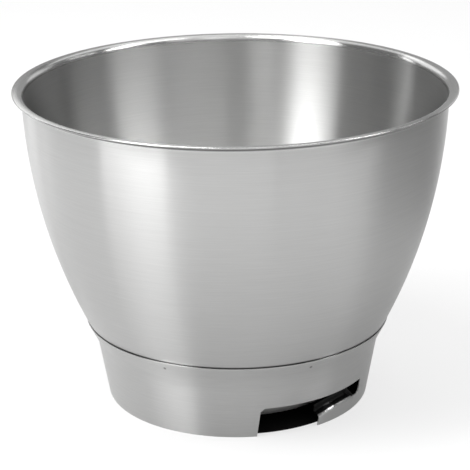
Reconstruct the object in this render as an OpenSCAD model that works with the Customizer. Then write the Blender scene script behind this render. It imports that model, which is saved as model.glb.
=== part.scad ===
// Mixer bowl: a deep-drawn steel bowl, welded into a pressed foot ring that locks by two bayonet slots.
// Millimetres, +Z up. The origin is the centre of the foot, on the surface that the bowl stands on.
// Bearings are degrees round the bowl from the front, which is -Y, towards +X.

/* [Bowl] */
// Overall diameter, over the turned-out rim
rim_d = 236; // [234:1:246]
// Overall height, from the standing surface to the top of the rim
bowl_h = 172; // [160:1:185]
// Width of the turned-out rim, from its edge in to the outside of the wall
rim_w = 5; // [4.5:0.5:9]
// Radius of the wall's arc, seen in section
wall_r = 298; // [260:2:400]
// Thickness of the bowl's sheet
sheet = 1; // [0.7:0.1:1.3]
// Radius under the turned-out rim
rim_bend_r = 2.5; // [1.5:0.5:3]
// Outside radius of the corner between wall and base
base_corner_r = 14; // [8:1:18]
// Height of the base over the standing surface
base_lift = 4.5; // [3:0.5:6]

/* [Raised centre] */
// Diameter of the raised centre, where its dome and the base would meet in a sharp corner
dome_d = 64; // [50:2:76]
// Height of the raised centre over the base
dome_h = 4.5; // [3:0.5:7]
// Radius that leads from the base up to the raised centre
dome_foot_r = 12; // [6:1:16]

/* [Foot ring] */
// Diameter of the ring's bottom edge
foot_d = 143.5; // [140:0.5:146]
// Height of the ring's top edge
foot_h = 43.5; // [42:0.5:50]
// How far the bowl's wall stands outside the ring's bottom edge, at the line of welds
lap_out = 8.7; // [8.2:0.1:9.4]
// Draft of the skirt, in degrees from upright
skirt_draft = 9.9; // [9:0.1:11]
// Thickness of the ring's sheet
foot_sheet = 0.6; // [0.5:0.1:0.8]
// Clearance between the ring's lap and the bowl's wall at the welds
lap_gap = 0.03; // [0.02:0.01:0.1]
// Outside radius of the bend between lap and skirt
lap_bend_r = 3; // [2:0.5:5]
// Bevel on the inside of the ring's top edge
lap_bevel = 0.3; // [0.1:0.05:0.4]

/* [Weld marks] */
// Height of the ring's top edge over the line of welds
weld_drop = 3.6; // [3:0.2:6]
// Bearing of a weld from the middle of each half of the ring, in degrees
weld_angle = 27.8; // [20:0.2:45]
// Radius of the electrode's tip
weld_tip_r = 5; // [3:0.5:8]
// Depth of a weld mark
weld_depth = 0.12; // [0.05:0.01:0.2]

/* [Bayonet slots] */
// Number of slots, evenly spaced
slot_count = 2; // [1:1:3]
// Bearing of the slot's open end, at the bottom edge
slot_start = 7.8; // [0:0.2:12]
// Bearing of the slot's closed end
slot_end = 62.5; // [61:0.5:70]
// Height of the slot's top edge
slot_top = 17; // [16:0.2:20]
// Lean of the slot's open end, in degrees from upright
slot_lean = 6; // [0:1:8]
// Corner cut at the top of the open end
slot_corner = 2; // [1:0.25:3]
// Corner radius of the closed end
slot_round = 1.8; // [1:0.1:2.5]
// Height of the closed end's lower edge
slot_sill = 8.4; // [8.2:0.1:9.5]

/* [Folded ledge] */
// Bearing where the ledge starts, at the slot's mouth
ledge_start = 36; // [32:0.5:42]
// Bearing where the ledge's lead-in reaches its full height
ledge_ramp_end = 48; // [44:0.5:50]
// Bearing where the ledge ends and the slot's closed end begins
ledge_end = 57.5; // [54:0.5:58]
// Height of the ledge at the slot's mouth
ledge_low = 6.4; // [6:0.1:7.5]
// Height of the ledge where the lug rests
ledge_high = 8.9; // [8:0.1:9.5]
// Outside radius of the fold along the skirt
fold_r = 1.7; // [1:0.1:1.9]
// Width of the ledge's flat, between its two bends
ledge_flat = 1.5; // [0.8:0.1:2]
// Inside radius of the bend up to the lip
lip_bend_r = 1.2; // [0.8:0.1:1.5]
// Straight height of the lip
lip_h = 2.6; // [1.5:0.1:3]
// Lean of the lip towards the skirt, in degrees
lip_lean = 10; // [0:1:15]

/* [Hidden] */
$fn = 180;
// Each arc dips this far into the next surface, so that the two always cross
blend = 0.004;
// Overlap of a cutter or a joined piece past the surface that it meets
reach = 1;
// The slots' cutters pass through the skirt from this far inside the bottom edge to this far outside it
cut_in = 4;
cut_out = 6;
// Degrees by which a slot's cutter runs past each end of the slot, before the ends are shaped
cut_over = 3;
// Points along the ledge and round each of its two bends
ledge_steps = 12;
bend_steps = 6;
// Degrees before the slot's closed end where the ledge's full section stops
ledge_stop = 0.5;
// Degrees past the slot's closed end where the tongue in the skirt ends
tongue_run = 2;
// Height of the tongue's lower edge, and the share of the sheet left over each of its faces
tongue_foot = 0.2;
tongue_skin = 0.3;

function along(v) = v / norm(v);

// Where the line through p with normal n meets the line through q with normal m
function meet(p, n, q, m) =
    [(n * p) * m.y - (m * q) * n.y, n.x * (m * q) - m.x * (n * p)] / (n.x * m.y - n.y * m.x);

// Points on an arc about c, from angle a to angle b
function arc(c, r, a, b, steps) = [for (i = [0:steps]) c + r * [cos(a + (b - a) * i / steps),
                                                               sin(a + (b - a) * i / steps)]];

// The wall's arc runs from the line of welds to the place where the rim turns out, and on down to the base
weld_y = foot_h - weld_drop;
wall_weld = [foot_d / 2 + lap_out, weld_y];
wall_head = [rim_d / 2 - rim_w, bowl_h - sheet - rim_bend_r];
wall_chord = wall_head - wall_weld;
wall_c = (wall_weld + wall_head) / 2
    + sqrt(pow(wall_r, 2) - pow(norm(wall_chord) / 2, 2)) * along([-wall_chord.y, wall_chord.x]);

// Centre of the corner's arc, inside the wall
corner_y = base_lift + base_corner_r - blend;
corner_c = [wall_c.x + sqrt(pow(wall_r - base_corner_r + blend, 2) - pow(corner_y - wall_c.y, 2)),
            corner_y];

// Centre of the arc under the rim, outside the wall
rim_y = bowl_h - sheet - rim_bend_r + blend;
rim_c = [wall_c.x + sqrt(pow(wall_r + rim_bend_r - blend, 2) - pow(rim_y - wall_c.y, 2)), rim_y];

// The raised centre is a cap with an arc round its foot. Both radii are those of the upper face.
dome_r = (pow(dome_d / 2, 2) + pow(dome_h, 2)) / (2 * dome_h);
dome_c = [0, base_lift + sheet + dome_h - dome_r];
dome_foot_y = base_lift + sheet + dome_foot_r - blend;
dome_foot_c = [sqrt(pow(dome_r + dome_foot_r - blend, 2) - pow(dome_foot_y - dome_c.y, 2)), dome_foot_y];

// The lap lies along the wall at the line of welds, and the skirt leans by its draft
lap_angle = asin((wall_c.y - weld_y) / wall_r);
lap_n = [cos(lap_angle), -sin(lap_angle)];
lap_along = [sin(lap_angle), cos(lap_angle)];
weld_p = wall_c + (wall_r + lap_gap + foot_sheet) * lap_n;
lap_top = weld_p + (foot_h - weld_p.y) / lap_along.y * lap_along;
skirt_n = [cos(skirt_draft), -sin(skirt_draft)];
skirt_p = [foot_d / 2, 0];
bend_outer = meet(weld_p, lap_n, skirt_p, skirt_n);
bend_inner = meet(weld_p - foot_sheet * lap_n, lap_n, skirt_p - foot_sheet * skirt_n, skirt_n);
bend_c = bend_outer + (lap_bend_r - blend) * (lap_n + skirt_n) / (1 + lap_n * skirt_n);

// Radius of the skirt's outside at height z, and its thickness measured level
function skirt_at(z) = foot_d / 2 + z * tan(skirt_draft);
skirt_level = foot_sheet / cos(skirt_draft);

// The region below the raised centre, for the face that lies d inside the bowl's outer face
module dome_face(d) {
    rise = sheet - d;
    toe_y = base_lift + d - reach;
    toe_share = (toe_y - dome_c.y) / (dome_foot_c.y - dome_c.y);
    translate(dome_c) circle(r = dome_r - rise);
    difference() {
        polygon([dome_c + toe_share * (dome_foot_c - dome_c), [dome_foot_c.x, toe_y], dome_foot_c]);
        translate(dome_foot_c) circle(r = dome_foot_r + rise);
    }
}

// The region inside the face that lies d inside the bowl's outer face, up to the height top
module bowl_face(d, top) {
    wall_toe = wall_c + (wall_r + base_corner_r) * along(corner_c - wall_c);
    rim_root = wall_c + (wall_r - base_corner_r) * along(rim_c - wall_c);
    difference() {
        union() {
            intersection() {
                translate(wall_c) circle(r = wall_r - d);
                polygon([[0, corner_c.y], corner_c, wall_toe, [rim_d, wall_toe.y], [rim_d, top], [0, top]]);
            }
            translate(corner_c) circle(r = base_corner_r - d);
            translate([0, base_lift + d]) square([corner_c.x, base_corner_r]);
            difference() {
                polygon([[0, rim_root.y], rim_root, rim_c, [rim_c.x, top], [0, top]]);
                translate(rim_c) circle(r = rim_bend_r + d);
            }
        }
        dome_face(d);
    }
}

// Drawn bowl: one sheet from the rim to the raised centre
module bowl_shell() {
    rim_edge = [(rim_d - sheet) / 2, bowl_h - sheet / 2];
    color([0.78, 0.78, 0.77])
    rotate_extrude()
    difference() {
        union() {
            bowl_face(0, bowl_h);
            translate([rim_c.x - reach, bowl_h - sheet]) square([rim_edge.x - rim_c.x + reach, sheet]);
            translate(rim_edge) circle(d = sheet);
        }
        bowl_face(sheet, bowl_h + reach);
    }
}

// The wedge in which the bend turns, from the bend's centre to the faces that lie at depth
module bend_wedge(depth) {
    polygon([bend_c, bend_c - depth * lap_n, bend_c - depth * (lap_n + skirt_n) / (1 + lap_n * skirt_n),
             bend_c - depth * skirt_n]);
}

// Section of the foot ring's sheet: the lap, the bend and the skirt
module foot_section() {
    lap_inner = lap_top - foot_sheet * lap_n;
    difference() {
        union() {
            polygon([skirt_p, bend_outer, lap_top, lap_top - (foot_sheet - lap_bevel) * lap_n,
                     lap_inner - lap_bevel * lap_along, bend_inner, [skirt_p.x - skirt_level, 0]]);
            difference() {
                bend_wedge(lap_bend_r + foot_sheet / 2);
                translate(bend_c) circle(r = lap_bend_r);
            }
        }
        difference() {
            bend_wedge(lap_bend_r + foot_sheet + reach);
            translate(bend_c) circle(r = lap_bend_r + foot_sheet);
        }
    }
}

// Puts an outline of tangential width and height through the skirt at a bearing
module through_skirt(bearing) {
    rotate([0, 0, bearing - 90])
    translate([foot_d / 2 - cut_in - reach, 0, 0])
    rotate([90, 0, 90])
    linear_extrude(height = cut_in + cut_out + 2 * reach) children();
}

// Width from a slot's end to beyond the end of its cutter
over_w = (foot_d / 2 + cut_out) * sin(cut_over) + reach;

// What stays beside the slot's open end: a leaning edge, with its top corner cut
module open_end() {
    run = tan(slot_lean);
    corner = [(slot_top - slot_corner) * run, slot_top - slot_corner];
    through_skirt(slot_start)
    polygon([[-over_w, -2 * reach], [-2 * reach * run, -2 * reach], corner,
             corner + (slot_corner + reach) * [1 + run, 1], [-over_w, slot_top + reach]]);
}

// What stays round the slot's closed end: the sill under it, and the upright edge with rounded corners
module closed_end() {
    sill_w = foot_d / 2 * sin(slot_end - ledge_end);
    through_skirt(slot_end)
    difference() {
        translate([-sill_w, -2 * reach]) square([sill_w + over_w, slot_top + 3 * reach]);
        translate([-sill_w - reach, slot_sill])
            square([sill_w + reach - slot_round, slot_top - slot_sill + 2 * reach]);
        translate([-sill_w - reach, slot_sill + slot_round])
            square([sill_w + reach, slot_top - slot_sill - 2 * slot_round]);
        for (y = [slot_sill + slot_round - blend, slot_top - slot_round + blend])
            translate([blend - slot_round, y]) circle(r = slot_round);
    }
}

// A slot's cutter: a run of the slot's height round the ring, less what stays at its two ends
module slot() {
    difference() {
        rotate([0, 0, slot_start - cut_over - 90])
        rotate_extrude(angle = slot_end - slot_start + 2 * cut_over)
        translate([foot_d / 2 - cut_in, -reach]) square([cut_in + cut_out, slot_top + reach]);
        open_end();
        closed_end();
    }
}

// One face of the ledge's sheet in section, d inside its outer face, for a ledge whose top is at height h
function ledge_face(d, h) =
    let (
        fold_y = h - fold_r,
        fold_z = fold_y - fold_r * sin(skirt_draft),
        fold_c = [skirt_at(fold_z), fold_z] - fold_r * skirt_n,
        lip_c = [fold_c.x - ledge_flat, h + lip_bend_r],
        lip_root = lip_c + (lip_bend_r + d) * [-cos(lip_lean), sin(lip_lean)],
        lip_dir = [sin(lip_lean), cos(lip_lean)]
    )
    concat(
        [[skirt_at(0) - d / cos(skirt_draft), 0]],
        arc(fold_c, fold_r - d, -skirt_draft, 90, bend_steps),
        arc(lip_c, lip_bend_r + d, -90, -180 - lip_lean, bend_steps),
        [lip_root + lip_h * lip_dir]
    );

// The tongue that carries the ledge's sheet on into the skirt past the ledge's end, d inside the outer face
function tongue_face(d, h, count) =
    [for (i = [0:count - 1]) let (z = tongue_foot + (h - tongue_foot) * i / (count - 1))
        [skirt_at(z) - d / cos(skirt_draft), z]];

// The ledge: a strip of the skirt with its top folded inwards, lofted along the slot
module ledge() {
    full_end = ledge_end - ledge_stop;
    rise = function (b) b >= ledge_ramp_end ? ledge_high
        : ledge_low + (ledge_high - ledge_low) * sin(90 * (b - ledge_start) / (ledge_ramp_end - ledge_start));
    bearings = [for (i = [0:ledge_steps]) ledge_start + (full_end - ledge_start) * i / ledge_steps];
    outer = [for (b = bearings) ledge_face(0, rise(b))];
    inner = [for (b = bearings) ledge_face(foot_sheet, rise(b))];
    m = len(outer[0]);
    tongue = [for (share = [tongue_skin, 1 - tongue_skin])
        tongue_face(share * foot_sheet, slot_sill - reach, m)];
    rings = concat([for (i = [0:ledge_steps]) [bearings[i], outer[i], inner[i]]],
                   [[ledge_end + tongue_run, tongue[0], tongue[1]]]);
    points = [for (ring = rings) for (side = [1, 2]) for (p = ring[side])
        [p.x * sin(ring[0]), -p.x * cos(ring[0]), p.y]];
    at = function (k, side, i) (2 * k + side) * m + i;
    last = len(rings) - 1;
    faces = concat(
        [for (k = [0:last - 1]) for (i = [0:m - 2]) for (f = [
            [at(k, 0, i), at(k, 0, i + 1), at(k + 1, 0, i + 1)],
            [at(k, 0, i), at(k + 1, 0, i + 1), at(k + 1, 0, i)],
            [at(k, 1, i), at(k + 1, 1, i + 1), at(k, 1, i + 1)],
            [at(k, 1, i), at(k + 1, 1, i), at(k + 1, 1, i + 1)]]) f],
        [for (k = [0:last - 1]) for (f = [
            [at(k, 0, 0), at(k + 1, 0, 0), at(k + 1, 1, 0)],
            [at(k, 0, 0), at(k + 1, 1, 0), at(k, 1, 0)],
            [at(k, 0, m - 1), at(k + 1, 1, m - 1), at(k + 1, 0, m - 1)],
            [at(k, 0, m - 1), at(k, 1, m - 1), at(k + 1, 1, m - 1)]]) f],
        [for (i = [0:m - 2]) for (f = [
            [at(0, 0, i), at(0, 1, i + 1), at(0, 0, i + 1)],
            [at(0, 0, i), at(0, 1, i), at(0, 1, i + 1)],
            [at(last, 0, i), at(last, 0, i + 1), at(last, 1, i + 1)],
            [at(last, 0, i), at(last, 1, i + 1), at(last, 1, i)]]) f]
    );
    polyhedron(points = points, faces = faces);
}

// Shallow marks that the welding tips leave on the lap
module weld_marks() {
    tip = weld_p + (weld_tip_r - weld_depth) * lap_n;
    for (half = [0, 180], b = [-weld_angle, weld_angle, 90])
        rotate([0, 0, half + b - 90]) translate([tip.x, 0, tip.y]) sphere(r = weld_tip_r);
}

// Pressed foot ring: lap, skirt, slots and ledges from one sheet
module foot_ring() {
    color([0.74, 0.74, 0.73])
    union() {
        difference() {
            rotate_extrude() foot_section();
            weld_marks();
            for (i = [0:slot_count - 1]) rotate([0, 0, 360 / slot_count * i]) slot();
        }
        for (i = [0:slot_count - 1]) rotate([0, 0, 360 / slot_count * i]) ledge();
    }
}

bowl_shell();
foot_ring();
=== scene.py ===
"""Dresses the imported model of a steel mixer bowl: a drawn bowl, welded into a pressed foot ring.

Metres, +Z up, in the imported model's own frame. A bearing is in degrees round the bowl from the front,
which is -Y, towards +X.
"""

import logging
import math
from dataclasses import dataclass
from enum import Enum
from typing import Iterable

import bmesh
import bpy
from mathutils import Matrix, Vector


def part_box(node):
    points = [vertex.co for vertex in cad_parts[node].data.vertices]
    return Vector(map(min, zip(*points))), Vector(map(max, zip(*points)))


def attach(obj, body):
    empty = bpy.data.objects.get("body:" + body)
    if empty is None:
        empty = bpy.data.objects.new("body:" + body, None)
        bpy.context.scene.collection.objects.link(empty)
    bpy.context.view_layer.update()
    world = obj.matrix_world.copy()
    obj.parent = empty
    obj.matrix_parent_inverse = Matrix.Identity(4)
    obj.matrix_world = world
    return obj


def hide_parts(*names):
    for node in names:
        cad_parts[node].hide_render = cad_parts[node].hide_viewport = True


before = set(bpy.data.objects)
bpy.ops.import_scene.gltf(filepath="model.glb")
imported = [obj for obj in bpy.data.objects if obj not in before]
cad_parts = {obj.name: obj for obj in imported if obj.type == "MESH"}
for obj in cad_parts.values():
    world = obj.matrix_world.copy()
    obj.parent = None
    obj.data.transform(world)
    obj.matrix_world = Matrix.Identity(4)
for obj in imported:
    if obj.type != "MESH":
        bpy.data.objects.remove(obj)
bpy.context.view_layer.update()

MM = 0.001
UP = Vector((0, 0, 1))
ACROSS = Vector((0, 1, 0))
MERGE = 1e-6
SHARP_ANGLE = math.radians(60)
STEEL_COLOUR = (0.62, 0.62, 0.615)
WHITE = (1.0, 1.0, 1.0)
log = logging.getLogger("mixer bowl")


class Node(Enum):
    """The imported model's nodes."""

    BOWL = "bowl_shell"
    RING = "foot_ring"


def on_bearing(radius: float, bearing: float, height: float) -> Vector:
    """The point at a radius, a bearing and a height."""
    turn = math.radians(bearing)
    return Vector((radius * math.sin(turn), -radius * math.cos(turn), height))


class Section:
    """A line drawn in a lathe's section plane, where X is the radius and Z the height."""

    def __init__(self, start: Vector) -> None:
        """Starts the line.

        Args:
            start: The first point, as radius and height.
        """
        self.bm = bmesh.new()
        self.tip = self.bm.verts.new((start.x, 0, start.y))

    def line_to(self, end: Vector) -> None:
        """Draws a straight edge.

        Args:
            end: The point to draw to, as radius and height.
        """
        made = bmesh.ops.extrude_vert_indiv(self.bm, verts=[self.tip])
        self.tip = made["verts"][0]
        self.tip.co = (end.x, 0, end.y)

    def turn_to(self, centre: Vector, end: Vector, steps: int) -> None:
        """Draws the shorter arc about a centre.

        Args:
            centre: The arc's centre, as radius and height.
            end: The arc's last point.
            steps: How many edges the arc has.
        """
        start = Vector((self.tip.co.x, self.tip.co.z)) - centre
        angle = math.atan2(start.cross(end - centre), start.dot(end - centre))
        made = bmesh.ops.spin(
            self.bm, geom=[self.tip], cent=(centre.x, 0, centre.y), axis=-ACROSS, angle=angle, steps=steps)
        self.tip = next(v for v in made["geom_last"] if isinstance(v, bmesh.types.BMVert))

    def lathe(self, steps: int) -> bmesh.types.BMesh:
        """Turns the line all the way round the Z axis.

        Args:
            steps: How many facets the turned shape has round it.

        Returns:
            The closed shape, with its faces pointing outwards.
        """
        geom = self.bm.verts[:] + self.bm.edges[:]
        bmesh.ops.spin(
            self.bm, geom=geom, cent=(0, 0, 0), axis=UP, angle=math.tau, steps=steps, use_merge=True)
        bmesh.ops.remove_doubles(self.bm, verts=self.bm.verts[:], dist=MERGE)
        bmesh.ops.recalc_face_normals(self.bm, faces=self.bm.faces[:])
        return self.bm


def finished(bm: bmesh.types.BMesh, name: str) -> bpy.types.Object:
    """Makes an object of a mesh under work, smooth except at sharp edges, and frees that mesh.

    Args:
        bm: The mesh under work.
        name: The object's name.

    Returns:
        The object, at the origin.
    """
    mesh = bpy.data.meshes.new(name)
    bm.to_mesh(mesh)
    bm.free()
    made = bpy.data.objects.new(name, mesh)
    bpy.context.scene.collection.objects.link(made)
    mesh.polygons.foreach_set("use_smooth", [True] * len(mesh.polygons))
    mesh.set_sharp_from_angle(angle=SHARP_ANGLE)
    return made


class Wire:
    """A number that runs between nodes. Python's operators on it add Math nodes."""

    def __init__(self, bench: "NodeBench", source: bpy.types.NodeSocket) -> None:
        """Wraps an output socket.

        Args:
            bench: The node tree that the socket is in.
            source: The socket.
        """
        self.bench = bench
        self.source = source

    def __add__(self, other: "Wire | float") -> "Wire":
        """This plus other."""
        return self.bench.maths("ADD", self, other)

    def __radd__(self, other: float) -> "Wire":
        """Other plus this."""
        return self.bench.maths("ADD", other, self)

    def __sub__(self, other: "Wire | float") -> "Wire":
        """This less other."""
        return self.bench.maths("SUBTRACT", self, other)

    def __rsub__(self, other: float) -> "Wire":
        """Other less this."""
        return self.bench.maths("SUBTRACT", other, self)

    def __mul__(self, other: "Wire | float") -> "Wire":
        """This times other."""
        return self.bench.maths("MULTIPLY", self, other)

    def __rmul__(self, other: float) -> "Wire":
        """Other times this."""
        return self.bench.maths("MULTIPLY", other, self)

    def __truediv__(self, other: "Wire | float") -> "Wire":
        """This over other."""
        return self.bench.maths("DIVIDE", self, other)

    def __rtruediv__(self, other: float) -> "Wire":
        """Other over this."""
        return self.bench.maths("DIVIDE", other, self)

    def __neg__(self) -> "Wire":
        """0 less this."""
        return self.bench.maths("SUBTRACT", 0.0, self)

    def __abs__(self) -> "Wire":
        """The size of this."""
        return self.bench.maths("ABSOLUTE", self)

    def root(self) -> "Wire":
        """The square root of this."""
        return self.bench.maths("SQRT", self)

    def or_more(self, other: "Wire | float") -> "Wire":
        """This or other, whichever is larger."""
        return self.bench.maths("MAXIMUM", self, other)

    def or_less(self, other: "Wire | float") -> "Wire":
        """This or other, whichever is smaller."""
        return self.bench.maths("MINIMUM", self, other)

    def over(self, limit: float) -> "Wire":
        """1 where this is over a limit, and otherwise 0."""
        return self.bench.maths("GREATER_THAN", self, limit)

    def step_between(self, low: float, high: float) -> "Wire":
        """Rises smoothly from 0 at low to 1 at high.

        Args:
            low: Where the step starts.
            high: Where it ends.

        Returns:
            The step.
        """
        return self.bench.add(
            "ShaderNodeMapRange", {"interpolation_type": "SMOOTHSTEP"},
            {"Value": self, "From Min": low, "From Max": high})

    def sibling(self, output: str) -> "Wire":
        """A wire from another output of the same node."""
        return Wire(self.bench, self.source.node.outputs[output])


class NodeBench:
    """A node tree under work."""

    def __init__(self, tree: bpy.types.NodeTree) -> None:
        """Empties a node tree.

        Args:
            tree: The tree to build in.
        """
        self.tree = tree
        tree.nodes.clear()

    def add(self, kind: str, settings: dict | None = None, inputs: dict | None = None,
            output: int | str = 0) -> Wire:
        """Adds a node.

        Args:
            kind: The node's type.
            settings: Its properties, which are set first.
            inputs: Its sockets by name or number, each with a value or a wire.
            output: The output that is wanted.

        Returns:
            A wire from that output.
        """
        node = self.tree.nodes.new(kind)
        for name, value in (settings or {}).items():
            setattr(node, name, value)
        for name, value in (inputs or {}).items():
            if isinstance(value, Wire):
                self.tree.links.new(value.source, node.inputs[name])
            else:
                node.inputs[name].default_value = value
        return Wire(self, node.outputs[output] if node.outputs else None)

    def maths(self, operation: str, *values: Wire | float) -> Wire:
        """Adds a Math node.

        Args:
            operation: The node's operation.
            values: Its inputs, in order.

        Returns:
            The node's result.
        """
        return self.add("ShaderNodeMath", {"operation": operation}, dict(enumerate(values)))

    def split(self, vector: Wire) -> tuple[Wire, Wire, Wire]:
        """A vector's three parts."""
        x = self.add("ShaderNodeSeparateXYZ", inputs={"Vector": vector})
        return x, x.sibling("Y"), x.sibling("Z")

    def join(self, x: Wire | float, y: Wire | float, z: Wire | float) -> Wire:
        """A vector of three parts."""
        return self.add("ShaderNodeCombineXYZ", inputs={"X": x, "Y": y, "Z": z})

    def length(self, *parts: Wire) -> Wire:
        """The length of a vector that has these parts."""
        first, *rest = (part * part for part in parts)
        return sum(rest, first).root()

    def vector(self, operation: str, *values: Wire | Vector | tuple) -> Wire:
        """Adds a Vector Math node.

        Args:
            operation: The node's operation.
            values: Its inputs, in order.

        Returns:
            The node's vector.
        """
        return self.add("ShaderNodeVectorMath", {"operation": operation}, dict(enumerate(values)))

    def scaled(self, vector: Wire | tuple, size: Wire | float) -> Wire:
        """A vector times a number."""
        return self.add("ShaderNodeVectorMath", {"operation": "SCALE"}, {"Vector": vector, "Scale": size})


@dataclass(frozen=True)
class BrushedSteel:
    """Stainless steel, brushed round the bowl. It fans reflections out across the brush lines only.

    Args:
        name: The material's name.
        tint: The steel's colour, head on.
        roughness: Its roughness.
        line_pitch: The mean distance between the brush lines.
        line_arcs: How many lengths the lines have round the bowl, roughly.
        line_depth: How much the lines darken the steel.
        sway: How far a brush line turns the reflections sideways.
        fan_turn: The turns from round the bowl to across the lines, where the reflections fan out.
    """

    name: str
    tint: tuple[float, float, float] = STEEL_COLOUR
    roughness: float = 0.30
    line_pitch: float = 0.4 * MM
    line_arcs: float = 4.0
    line_depth: float = 0.10
    sway: float = 0.010
    fan_turn: float = 0.25

    def lines(self, bench: NodeBench, place: Wire) -> Wire:
        """Noise drawn out along the brush lines, with no seam round the bowl.

        Args:
            bench: The node tree.
            place: The point on the steel.

        Returns:
            A wire from -0.5 to 0.5.
        """
        x, y, z = bench.split(place)
        radius = bench.length(x, y)
        spot = bench.join(radius / self.line_pitch, z / self.line_pitch, x / radius * self.line_arcs)
        noise = bench.add("ShaderNodeTexNoise", {"noise_dimensions": "4D"}, {
            "Vector": spot, "W": y / radius * self.line_arcs, "Scale": 1.0, "Detail": 3.0, "Roughness": 0.65})
        return noise - 0.5

    def shade(self, bench: NodeBench, place: Wire) -> Wire | float:
        """How bright the steel is at a point, apart from the brush lines."""
        return 1.0

    def dullness(self, bench: NodeBench, place: Wire) -> Wire | float:
        """The roughness at a point."""
        return self.roughness

    def tilt(self, bench: NodeBench, place: Wire) -> Wire | float:
        """How far the surface tips up at a point, beyond its shape."""
        return 0.0

    def make(self) -> bpy.types.Material:
        """Builds the material.

        Returns:
            The material.
        """
        material = bpy.data.materials.new(self.name)
        material.use_nodes = True
        bench = NodeBench(material.node_tree)
        place = bench.add("ShaderNodeTexCoord", output="Object")
        lines = self.lines(bench, place)
        x, y, _ = bench.split(place)
        along = bench.vector("NORMALIZE", bench.join(-y, x, 0.0))
        normal = bench.add("ShaderNodeNewGeometry", output="Normal")
        swayed = bench.vector("ADD", normal, bench.scaled(along, lines * self.sway))
        tipped = bench.vector("ADD", swayed, bench.join(0.0, 0.0, self.tilt(bench, place)))
        tint = bench.scaled(self.tint, (1 + lines * (2 * self.line_depth)) * self.shade(bench, place))
        surface = bench.add("ShaderNodeBsdfPrincipled", inputs={
            "Base Color": tint, "Metallic": 1.0, "Roughness": self.dullness(bench, place),
            "Anisotropic": 1.0, "Anisotropic Rotation": self.fan_turn,
            "Normal": bench.vector("NORMALIZE", tipped)})
        bench.add("ShaderNodeOutputMaterial", inputs={"Surface": surface})
        return material

    def put_on(self, piece: bpy.types.Object) -> None:
        """Makes this a piece's only material."""
        piece.data.materials.clear()
        piece.data.materials.append(self.make())


@dataclass(frozen=True)
class BowlSteel(BrushedSteel):
    """The bowl's steel: painted shade in the seam and in the hollow under the rim, and polished on the rim.

    Args:
        seam: The height of the seam over the foot ring.
        seam_r: A radius between the sheet's two faces at the seam.
        lean: How far the wall leans out there, per unit of height.
        crevice: How far the painted shade reaches on either side of the seam.
        seam_shade_level: How bright the painted shade in the seam is.
        rim_bend: The centre of the bend under the rim, as radius and height.
        rim_hollow: Where the painted shade ends, from that centre.
        rim_shadow: Where the painted shade starts and is full, in height.
        rim_shade_level: How bright the painted shade in the hollow is.
        rim_start: Between which heights the polish begins.
        rim_dullness: The rim's own roughness.
    """

    seam: float = 43.5 * MM
    seam_r: float = 81.75 * MM
    lean: float = 0.5
    crevice: float = 1.3 * MM
    seam_shade_level: float = 0.08
    rim_bend: tuple[float, float] = (115.5 * MM, 168.5 * MM)
    rim_hollow: tuple[float, float] = (2.6 * MM, 3.0 * MM)
    rim_shadow: tuple[float, float] = (168.4 * MM, 169.2 * MM)
    rim_shade_level: float = 0.30
    rim_start: tuple[float, float] = (167.5 * MM, 169.5 * MM)
    rim_dullness: float = 0.22

    def shade(self, bench: NodeBench, place: Wire) -> Wire:
        """Painted shade in the seam and under the rim.

        Args:
            bench: The node tree.
            place: The point on the steel.

        Returns:
            1, or less in those places.
        """
        x, y, z = bench.split(place)
        radius = bench.length(x, y)
        # Painted shade: the outer face darkens in a band about the seam.
        outer = (radius - (z - self.seam) * self.lean).over(self.seam_r)
        seam = outer * (1 - abs(z - self.seam).step_between(0, self.crevice))
        # Painted shade: the steel darkens in the hollow under the rim's bend.
        inward, up = (radius - self.rim_bend[0]).or_less(0), z - self.rim_bend[1]
        hollow = 1 - bench.length(inward, up).step_between(*self.rim_hollow)
        rim = hollow * z.step_between(*self.rim_shadow)
        return (1 - seam * (1 - self.seam_shade_level)) * (1 - rim * (1 - self.rim_shade_level))

    def dullness(self, bench: NodeBench, place: Wire) -> Wire:
        """The wall's roughness, and the rim's from the bend outwards.

        Args:
            bench: The node tree.
            place: The point on the steel.

        Returns:
            The roughness.
        """
        _, _, z = bench.split(place)
        return self.roughness - z.step_between(*self.rim_start) * (self.roughness - self.rim_dullness)


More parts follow.
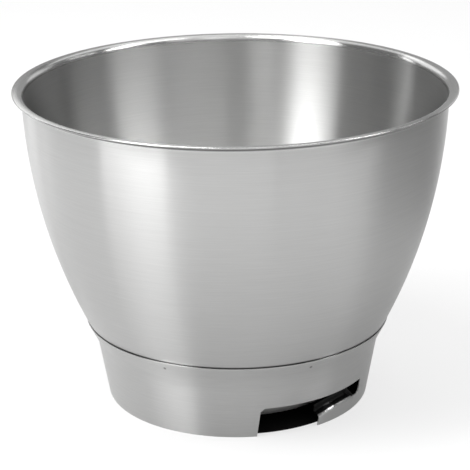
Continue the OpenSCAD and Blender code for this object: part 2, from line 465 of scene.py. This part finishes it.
@dataclass(frozen=True)
class RingSteel(BrushedSteel):
    """The foot ring's steel: painted shade on the flat of the ledge, and marked by the welds.

    Args:
        foot_r: The skirt's outer radius on the floor.
        draft: How far the skirt leans out, in degrees.
        fold_reach: How far in from the skirt the painted shade on the ledge is full, and where it begins.
        ledge_shade_level: How bright the painted shade on the flat of the ledge is.
        weld_at: Radius and height of the welds.
        weld_bearings: Their bearings in one quarter.
        weld_r: The radius within which a weld's mark is full, and the radius where it ends.
        weld_dark: How bright the mark is.
        bend: The height of the bend between skirt and lap.
        bend_half: Half the height of the bend itself.
        bend_reach: How far above and below the bend the surface tips.
        bend_tilt: How far it tips, so that the bend is seen to be soft.
        lip: Where the ring's top edge starts to turn over, and its top.
        lip_tilt: How far it turns.
    """

    foot_r: float = 71.75 * MM
    draft: float = 9.9
    fold_reach: tuple[float, float] = (1.5 * MM, 0.9 * MM)
    ledge_shade_level: float = 0.08
    weld_at: tuple[float, float] = (81.0 * MM, 39.6 * MM)
    weld_bearings: tuple[float, ...] = (27.8, 90.0)
    weld_r: tuple[float, float] = (0.33 * MM, 1.1 * MM)
    weld_dark: float = 0.40
    bend: float = 32.5 * MM
    bend_half: float = 0.4 * MM
    bend_reach: float = 6.5 * MM
    bend_tilt: float = 0.15
    lip: tuple[float, float] = (42.6 * MM, 43.4 * MM)
    lip_tilt: float = 0.5

    def shade(self, bench: NodeBench, place: Wire) -> Wire:
        """Painted shade on the flat of the ledge, and dark in the weld marks.

        Args:
            bench: The node tree.
            place: The point on the steel.

        Returns:
            1, or less in those places.
        """
        x, y, z = bench.split(place)
        # Painted shade: the base colour darkens on the flat of the ledge, further in from the skirt than
        # fold_reach; brushed is 1 where it does not.
        inside = z * math.tan(math.radians(self.draft)) + self.foot_r - bench.length(x, y)
        brushed = (-inside).step_between(*(-reach for reach in self.fold_reach))
        bright = self.ledge_shade_level + brushed * (1 - self.ledge_shade_level)
        for bearing in self.weld_bearings:
            weld = on_bearing(self.weld_at[0], bearing, self.weld_at[1])
            off = bench.vector("SUBTRACT", bench.vector("ABSOLUTE", place), [abs(part) for part in weld])
            clear = bench.length(*bench.split(off)).step_between(*self.weld_r)
            bright = bright * (self.weld_dark + clear * (1 - self.weld_dark))
        return bright

    def tilt(self, bench: NodeBench, place: Wire) -> Wire:
        """Softens the bend between skirt and lap, and turns the top edge over.

        Args:
            bench: The node tree.
            place: The point on the steel.

        Returns:
            How far the surface tips up.
        """
        _, _, z = bench.split(place)
        side = (z - self.bend).step_between(-self.bend_half, self.bend_half) * 2 - 1
        close = 1 - abs(z - self.bend).step_between(0, self.bend_reach)
        return side * close * self.bend_tilt + z.step_between(*self.lip) * self.lip_tilt


@dataclass(frozen=True)
class Stretch:
    """A stretch of a drawn section.

    Args:
        centre: The centre of its arc, or None where it is straight.
        end: Its last point, as radius and height.
        steps: How many edges it has.
    """

    centre: Vector | None
    end: Vector
    steps: int = 1

    def draw(self, section: Section, end: Vector | None = None) -> None:
        """Draws the stretch.

        Args:
            section: The line to carry on.
            end: Where it ends, if it is drawn the other way.
        """
        if self.centre is None:
            section.line_to(end or self.end)
        else:
            section.turn_to(self.centre, end or self.end, self.steps)


@dataclass
class DrawnBowl:
    """The drawn bowl: one sheet from the turned-out rim to the raised centre of its base.

    Args:
        finish: Its steel.
        rim_r: Radius over the rim.
        height: Height of the rim's top.
        base_lift: Height of the base's underside.
        mouth_r: Radius of the wall where the rim turns out.
        weld_r: Radius of the wall at the line of welds.
        weld_z: Height of the line of welds.
        wall_r: Radius of the wall's arc in section.
        sheet: Thickness of the sheet.
        rim_bend_r: Radius under the rim.
        corner_r: Outside radius of the corner between wall and base.
        dome_r: Radius of the raised centre's edge, where it would meet the base in a sharp corner.
        dome_h: Height of the raised centre.
        dome_foot_r: Radius that leads up to the raised centre.
        edge_steps: Edges in each quarter of the rim's rounded edge.
        steps: Facets round the bowl.
        slot: The slot of its finish; not used.
    """

    finish: BowlSteel
    rim_r: float
    height: float
    base_lift: float
    mouth_r: float = 113.0 * MM
    weld_r: float = 80.45 * MM
    weld_z: float = 39.9 * MM
    wall_r: float = 298.0 * MM
    sheet: float = 1.0 * MM
    rim_bend_r: float = 2.5 * MM
    corner_r: float = 14.0 * MM
    dome_r: float = 32.0 * MM
    dome_h: float = 4.5 * MM
    dome_foot_r: float = 12.0 * MM
    edge_steps: int = 4
    steps: int = 256
    slot: str = "bowl_steel"

    def __post_init__(self) -> None:
        """Works out the centres of the section's arcs."""
        weld = Vector((self.weld_r, self.weld_z))
        head = Vector((self.mouth_r, self.height - self.sheet - self.rim_bend_r))
        chord = head - weld
        apothem = math.sqrt(self.wall_r ** 2 - (chord.length / 2) ** 2)
        self.wall_c = (weld + head) / 2 + apothem * Vector((-chord.y, chord.x)).normalized()
        self.corner_c = self.beside_wall(self.wall_r - self.corner_r, self.base_lift + self.corner_r)
        self.rim_c = self.beside_wall(self.wall_r + self.rim_bend_r, head.y)
        self.cap_r = (self.dome_r ** 2 + self.dome_h ** 2) / (2 * self.dome_h)
        self.cap_c = Vector((0, self.base_lift + self.sheet + self.dome_h - self.cap_r))
        foot_y = self.base_lift + self.sheet + self.dome_foot_r
        reach = self.cap_r + self.dome_foot_r
        self.cap_foot_c = Vector((math.sqrt(reach ** 2 - (foot_y - self.cap_c.y) ** 2), foot_y))

    def beside_wall(self, reach: float, height: float) -> Vector:
        """The point at a height that is a given distance from the centre of the wall's arc."""
        return Vector((self.wall_c.x + math.sqrt(reach ** 2 - (height - self.wall_c.y) ** 2), height))

    def face(self, depth: float) -> list[Stretch]:
        """One face of the sheet, from the axis to the rim's edge.

        Args:
            depth: How far the face lies inside the bowl's outer face.

        Returns:
            The face's stretches.
        """
        to_foot = (self.cap_foot_c - self.cap_c).normalized()
        to_corner = (self.corner_c - self.wall_c).normalized()
        to_rim = (self.rim_c - self.wall_c).normalized()
        cap_r = self.cap_r - self.sheet + depth
        floor = self.base_lift + depth
        top = self.height - self.sheet + depth
        return [
            Stretch(self.cap_c, self.cap_c + cap_r * to_foot, steps=12),
            Stretch(self.cap_foot_c, Vector((self.cap_foot_c.x, floor)), steps=4),
            Stretch(None, Vector((self.corner_c.x, floor))),
            Stretch(self.corner_c, self.corner_c + (self.corner_r - depth) * to_corner, steps=12),
            Stretch(self.wall_c, self.wall_c + (self.wall_r - depth) * to_rim, steps=64),
            Stretch(self.rim_c, Vector((self.rim_c.x, top)), steps=10),
            Stretch(None, Vector((self.rim_r - self.sheet / 2, top))),
        ]

    def build(self) -> bpy.types.Object:
        """Draws the section out along the lower face and back along the upper one, turns it and dresses it.

        Returns:
            The bowl.
        """
        lower, upper = self.face(0), self.face(self.sheet)
        crown = self.cap_c.y + self.cap_r
        section = Section(Vector((0, crown - self.sheet)))
        for stretch in lower:
            stretch.draw(section)
        edge = Vector((self.rim_r - self.sheet / 2, self.height - self.sheet / 2))
        section.turn_to(edge, edge + Vector((self.sheet / 2, 0)), self.edge_steps)
        section.turn_to(edge, upper[-1].end, self.edge_steps)
        starts = [Vector((0, crown))] + [stretch.end for stretch in upper[:-1]]
        for stretch, start in zip(upper[::-1], starts[::-1]):
            stretch.draw(section, end=start)
        bowl = finished(section.lathe(self.steps), "bowl")
        self.dress(bowl)
        return bowl

    def dress(self, bowl: bpy.types.Object) -> None:
        """Gives the bowl its finish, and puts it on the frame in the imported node's place.

        Args:
            bowl: The bowl.
        """
        self.finish.put_on(bowl)
        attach(bowl, "root")
        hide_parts(Node.BOWL.value)


@dataclass(frozen=True)
class PressedRing:
    """The foot ring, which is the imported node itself.

    Args:
        finish: Its steel.
    """

    finish: RingSteel

    def build(self) -> bpy.types.Object:
        """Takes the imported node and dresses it.

        Returns:
            The ring.
        """
        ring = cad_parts[Node.RING.value]
        self.finish.put_on(ring)
        return ring


@dataclass(frozen=True)
class Softbox:
    """A soft lamp, aimed at the bowl.

    Args:
        name: Its name.
        bearing: Where it stands round the bowl.
        climb: How high it stands, in degrees above the bowl's middle.
        distance: How far it is from the bowl's middle.
        spread: How many degrees round the bowl it takes up.
        height: Its height.
        level: Its brightness, where 1 is white.
    """

    name: str
    bearing: float
    climb: float
    distance: float
    spread: float
    height: float
    level: float

    def build(self, aim: Vector) -> bpy.types.Object:
        """Makes the lamp.

        Args:
            aim: The point that it faces.

        Returns:
            The lamp.
        """
        climb = math.radians(self.climb)
        away = self.distance * math.cos(climb)
        data = bpy.data.lights.new(self.name, "AREA")
        data.shape = "RECTANGLE"
        data.size = 2 * away * math.tan(math.radians(self.spread / 2))
        data.size_y = self.height
        data.energy = self.level * math.pi * data.size * data.size_y
        lamp = bpy.data.objects.new(self.name, data)
        lamp.location = on_bearing(away, self.bearing, aim.z + self.distance * math.sin(climb))
        lamp.rotation_euler = (aim - lamp.location).to_track_quat("-Z", "Y").to_euler()
        lamp.visible_camera = False
        bpy.context.scene.collection.objects.link(lamp)
        return lamp


STUDIO_BOXES = (
    Softbox("key strip", -51, 1.5, 0.7, 35, 0.2, 1.68),
    Softbox("key", -51.5, 33, 1.4, 33, 0.5, 2.2),
    Softbox("upper key", -58, 50, 1.5, 34, 0.5, 8.5),
    Softbox("top key", -64, 66, 1.5, 38, 0.9, 11.0),
    Softbox("left strip", -128, 1.5, 0.7, 14, 0.2, 0.5),
    Softbox("left edge", -118, 20, 1.4, 8, 0.5, 2.4),
    Softbox("left rear", -150, 30, 1.6, 40, 0.7, 1.1),
    Softbox("front strip", -8, 1.5, 0.7, 52, 0.2, 0.35),
    Softbox("right strip", 36, 1.5, 0.7, 28, 0.2, 0.1),
    Softbox("right", 82, 45, 1.5, 16, 0.6, 7.0),
    Softbox("upper right", 89, 66, 1.5, 22, 0.6, 5.0),
    Softbox("low right", 110, 36, 1.5, 26, 0.12, 3.0),
    Softbox("right rear", 145, 20, 1.6, 30, 0.6, 0.5),
    Softbox("rear", 180, 62, 1.8, 90, 1.7, 0.95),
    Softbox("backdrop", 180, 14, 2.4, 90, 1.0, 0.2),
    Softbox("front", 0, 60, 1.8, 50, 1.9, 0.60),
    Softbox("right front", 30, 56, 1.8, 40, 1.8, 0.57),
)


@dataclass(frozen=True)
class Studio:
    """The floor and the light.

    Args:
        aim: The point that the lamps face.
        shadow_r: The radius within which the floor's colour is darkened, a painted shadow under the bowl.
        shadow_share: How much of the floor's colour the painted shadow leaves there.
        floor_half: Half the floor's width.
        floor_shade: The floor's own colour.
        floor_lift: How much brighter than lit the floor looks, as a white background does.
        near_lift: What is left of that in the steel right beside the foot, a painted close shadow.
        near_reach: Where the painted close shadow is deepest and where it ends, from the bowl's axis.
        dim_bearing: The side on which the steel mirrors the floor's lift dimmed, a painted dark reflection.
        dim_reach: How many degrees to either side of it the dimming ends, and is darkest.
        dim_from: Where the dimming begins and is darkest, from the bowl's axis.
        bright_reach: How many degrees from the side across from the dimmed one the painted close shadow is
            whole, and how many where it is weakest.
        bright: How far the painted close shadow is lifted there.
        room_shade: The brightness of the room round the bowl.
        boxes: The lamps.
    """

    aim: Vector
    shadow_r: float = 68.0 * MM
    shadow_share: float = 0.05
    floor_half: float = 4.0
    floor_shade: float = 0.30
    floor_lift: float = 0.66
    near_lift: float = 0.36
    near_reach: tuple[float, float] = (0.07, 0.46)
    dim_bearing: float = 105.0
    dim_reach: tuple[float, float] = (60.0, 4.0)
    dim_from: tuple[float, float] = (0.20, 0.34)
    bright_reach: tuple[float, float] = (60.0, 25.0)
    bright: float = 0.52
    room_shade: float = 0.25
    boxes: tuple[Softbox, ...] = STUDIO_BOXES

    def shown_in_steel(self, bench: NodeBench, spot: Wire, radius: Wire) -> Wire:
        """How much of the floor's lift the steel mirrors: a painted close shadow by the foot, and a painted
        dark reflection on one side.

        Args:
            bench: The floor's node tree.
            spot: The point on the floor.
            radius: Its distance from the bowl's axis.

        Returns:
            A wire from 0 to 1.
        """
        across, along, _ = bench.split(bench.vector("NORMALIZE", spot))
        turn = math.radians(self.dim_bearing)
        towards = across * math.sin(turn) - along * math.cos(turn)
        # Painted dark reflection: on one side the steel mirrors the floor's lift dimmed, with nothing
        # standing there.
        dimmed, bright = (
            side.step_between(*(math.cos(math.radians(angle)) for angle in reach))
            for side, reach in ((towards, self.dim_reach), (-towards, self.bright_reach)))
        # Painted close shadow: the mirrored lift fades towards the foot, less on the side across from the
        # dimmed one.
        clear = radius.step_between(*self.near_reach).or_more(bright * self.bright)
        near = self.near_lift + clear * (1 - self.near_lift)
        return near * (1 - dimmed * radius.step_between(*self.dim_from))

    def build_floor(self) -> bpy.types.Object:
        """Makes the floor.

        Returns:
            The floor.
        """
        bm = bmesh.new()
        bmesh.ops.create_grid(bm, x_segments=1, y_segments=1, size=self.floor_half)
        floor = finished(bm, "floor")
        floor.data.materials.append(self.pale())
        return floor

    def pale(self) -> bpy.types.Material:
        """Makes the floor's material: pale and lifted from above, with a painted shadow under the bowl, and
        clear from below.

        Returns:
            The material.
        """
        material = bpy.data.materials.new("pale floor")
        material.use_nodes = True
        bench = NodeBench(material.node_tree)
        spot = bench.add("ShaderNodeTexCoord", output="Object")
        x, y, _ = bench.split(spot)
        radius = bench.length(x, y)
        # Painted shadow under the bowl: within a radius round the axis the floor keeps only a small share of
        # its colour and none of its lift.
        open_floor = radius.over(self.shadow_r)
        camera = bench.add("ShaderNodeLightPath", output="Is Camera Ray")
        mirrored, through = camera.sibling("Is Glossy Ray"), camera.sibling("Is Transmission Ray")
        seen = camera.or_more(mirrored.or_more(through) * self.shown_in_steel(bench, spot, radius))
        left = open_floor * (1 - self.shadow_share) + self.shadow_share
        shade = bench.scaled(WHITE, left * self.floor_shade)
        lit = bench.add("ShaderNodeBsdfDiffuse", inputs={"Color": shade})
        lift = bench.add("ShaderNodeEmission", inputs={"Strength": seen * open_floor * self.floor_lift})
        both = bench.add("ShaderNodeAddShader", inputs={0: lit, 1: lift})
        under = bench.add("ShaderNodeNewGeometry", output="Backfacing")
        surface = bench.add("ShaderNodeMixShader", inputs={
            "Fac": under, 1: both, 2: bench.add("ShaderNodeBsdfTransparent")})
        bench.add("ShaderNodeOutputMaterial", inputs={"Surface": surface})
        return material

    def build_room(self) -> None:
        """Makes the room's even light."""
        world = bpy.data.worlds.new("room")
        world.use_nodes = True
        bench = NodeBench(world.node_tree)
        surface = bench.add("ShaderNodeBackground", inputs={"Strength": self.room_shade})
        bench.add("ShaderNodeOutputWorld", inputs={"Surface": surface})
        bpy.context.scene.world = world

    def build(self) -> None:
        """Makes the floor, the room and the lamps."""
        self.build_floor()
        self.build_room()
        for box in self.boxes:
            box.build(self.aim)
        bpy.context.scene.view_settings.view_transform = "Standard"


@dataclass(frozen=True)
class Viewpoint:
    """The camera, as the photograph was taken.

    Args:
        setback: How far it stands in front of the bowl's axis.
        height: Its height over the floor.
        pitch: How far it looks down, in degrees.
        roll: How far it leans, in degrees.
        yaw: How far it looks to the side, in degrees.
        lens: Its focal length in millimetres.
        sensor: The width of its sensor in millimetres.
    """

    setback: float = 935.5 * MM
    height: float = 417.7 * MM
    pitch: float = 19.463
    roll: float = -0.539
    yaw: float = 0.0545
    lens: float = 139.34
    sensor: float = 36.0

    def build(self) -> bpy.types.Object:
        """Makes the camera.

        Returns:
            The camera.
        """
        data = bpy.data.cameras.new("camera")
        data.lens = self.lens
        data.sensor_width = self.sensor
        camera = bpy.data.objects.new("camera", data)
        turn = (Matrix.Rotation(math.radians(self.yaw), 4, "Z")
                @ Matrix.Rotation(math.radians(90 - self.pitch), 4, "X")
                @ Matrix.Rotation(math.radians(self.roll), 4, "Z"))
        camera.matrix_world = Matrix.Translation((0, -self.setback, self.height)) @ turn
        bpy.context.scene.collection.objects.link(camera)
        bpy.context.scene.camera = camera
        return camera


def main() -> None:
    """Builds the bowl, dresses the ring and sets the studio round them."""
    logging.basicConfig(level=logging.INFO, format="%(name)s: %(message)s")
    low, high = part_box(Node.BOWL.value)
    _, ring_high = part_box(Node.RING.value)
    bowl_steel = BowlSteel("bowl steel", seam=ring_high.z)
    ring_steel = RingSteel("ring steel")
    bowl = DrawnBowl(bowl_steel, rim_r=high.x, height=high.z, base_lift=low.z).build()
    ring = PressedRing(ring_steel).build()
    for piece in (bowl, ring):
        log.info("%s: %d faces", piece.name, len(piece.data.polygons))
    Viewpoint().build()
    Studio(aim=Vector((0, 0, high.z / 2))).build()


if __name__ == "__main__":
    main()
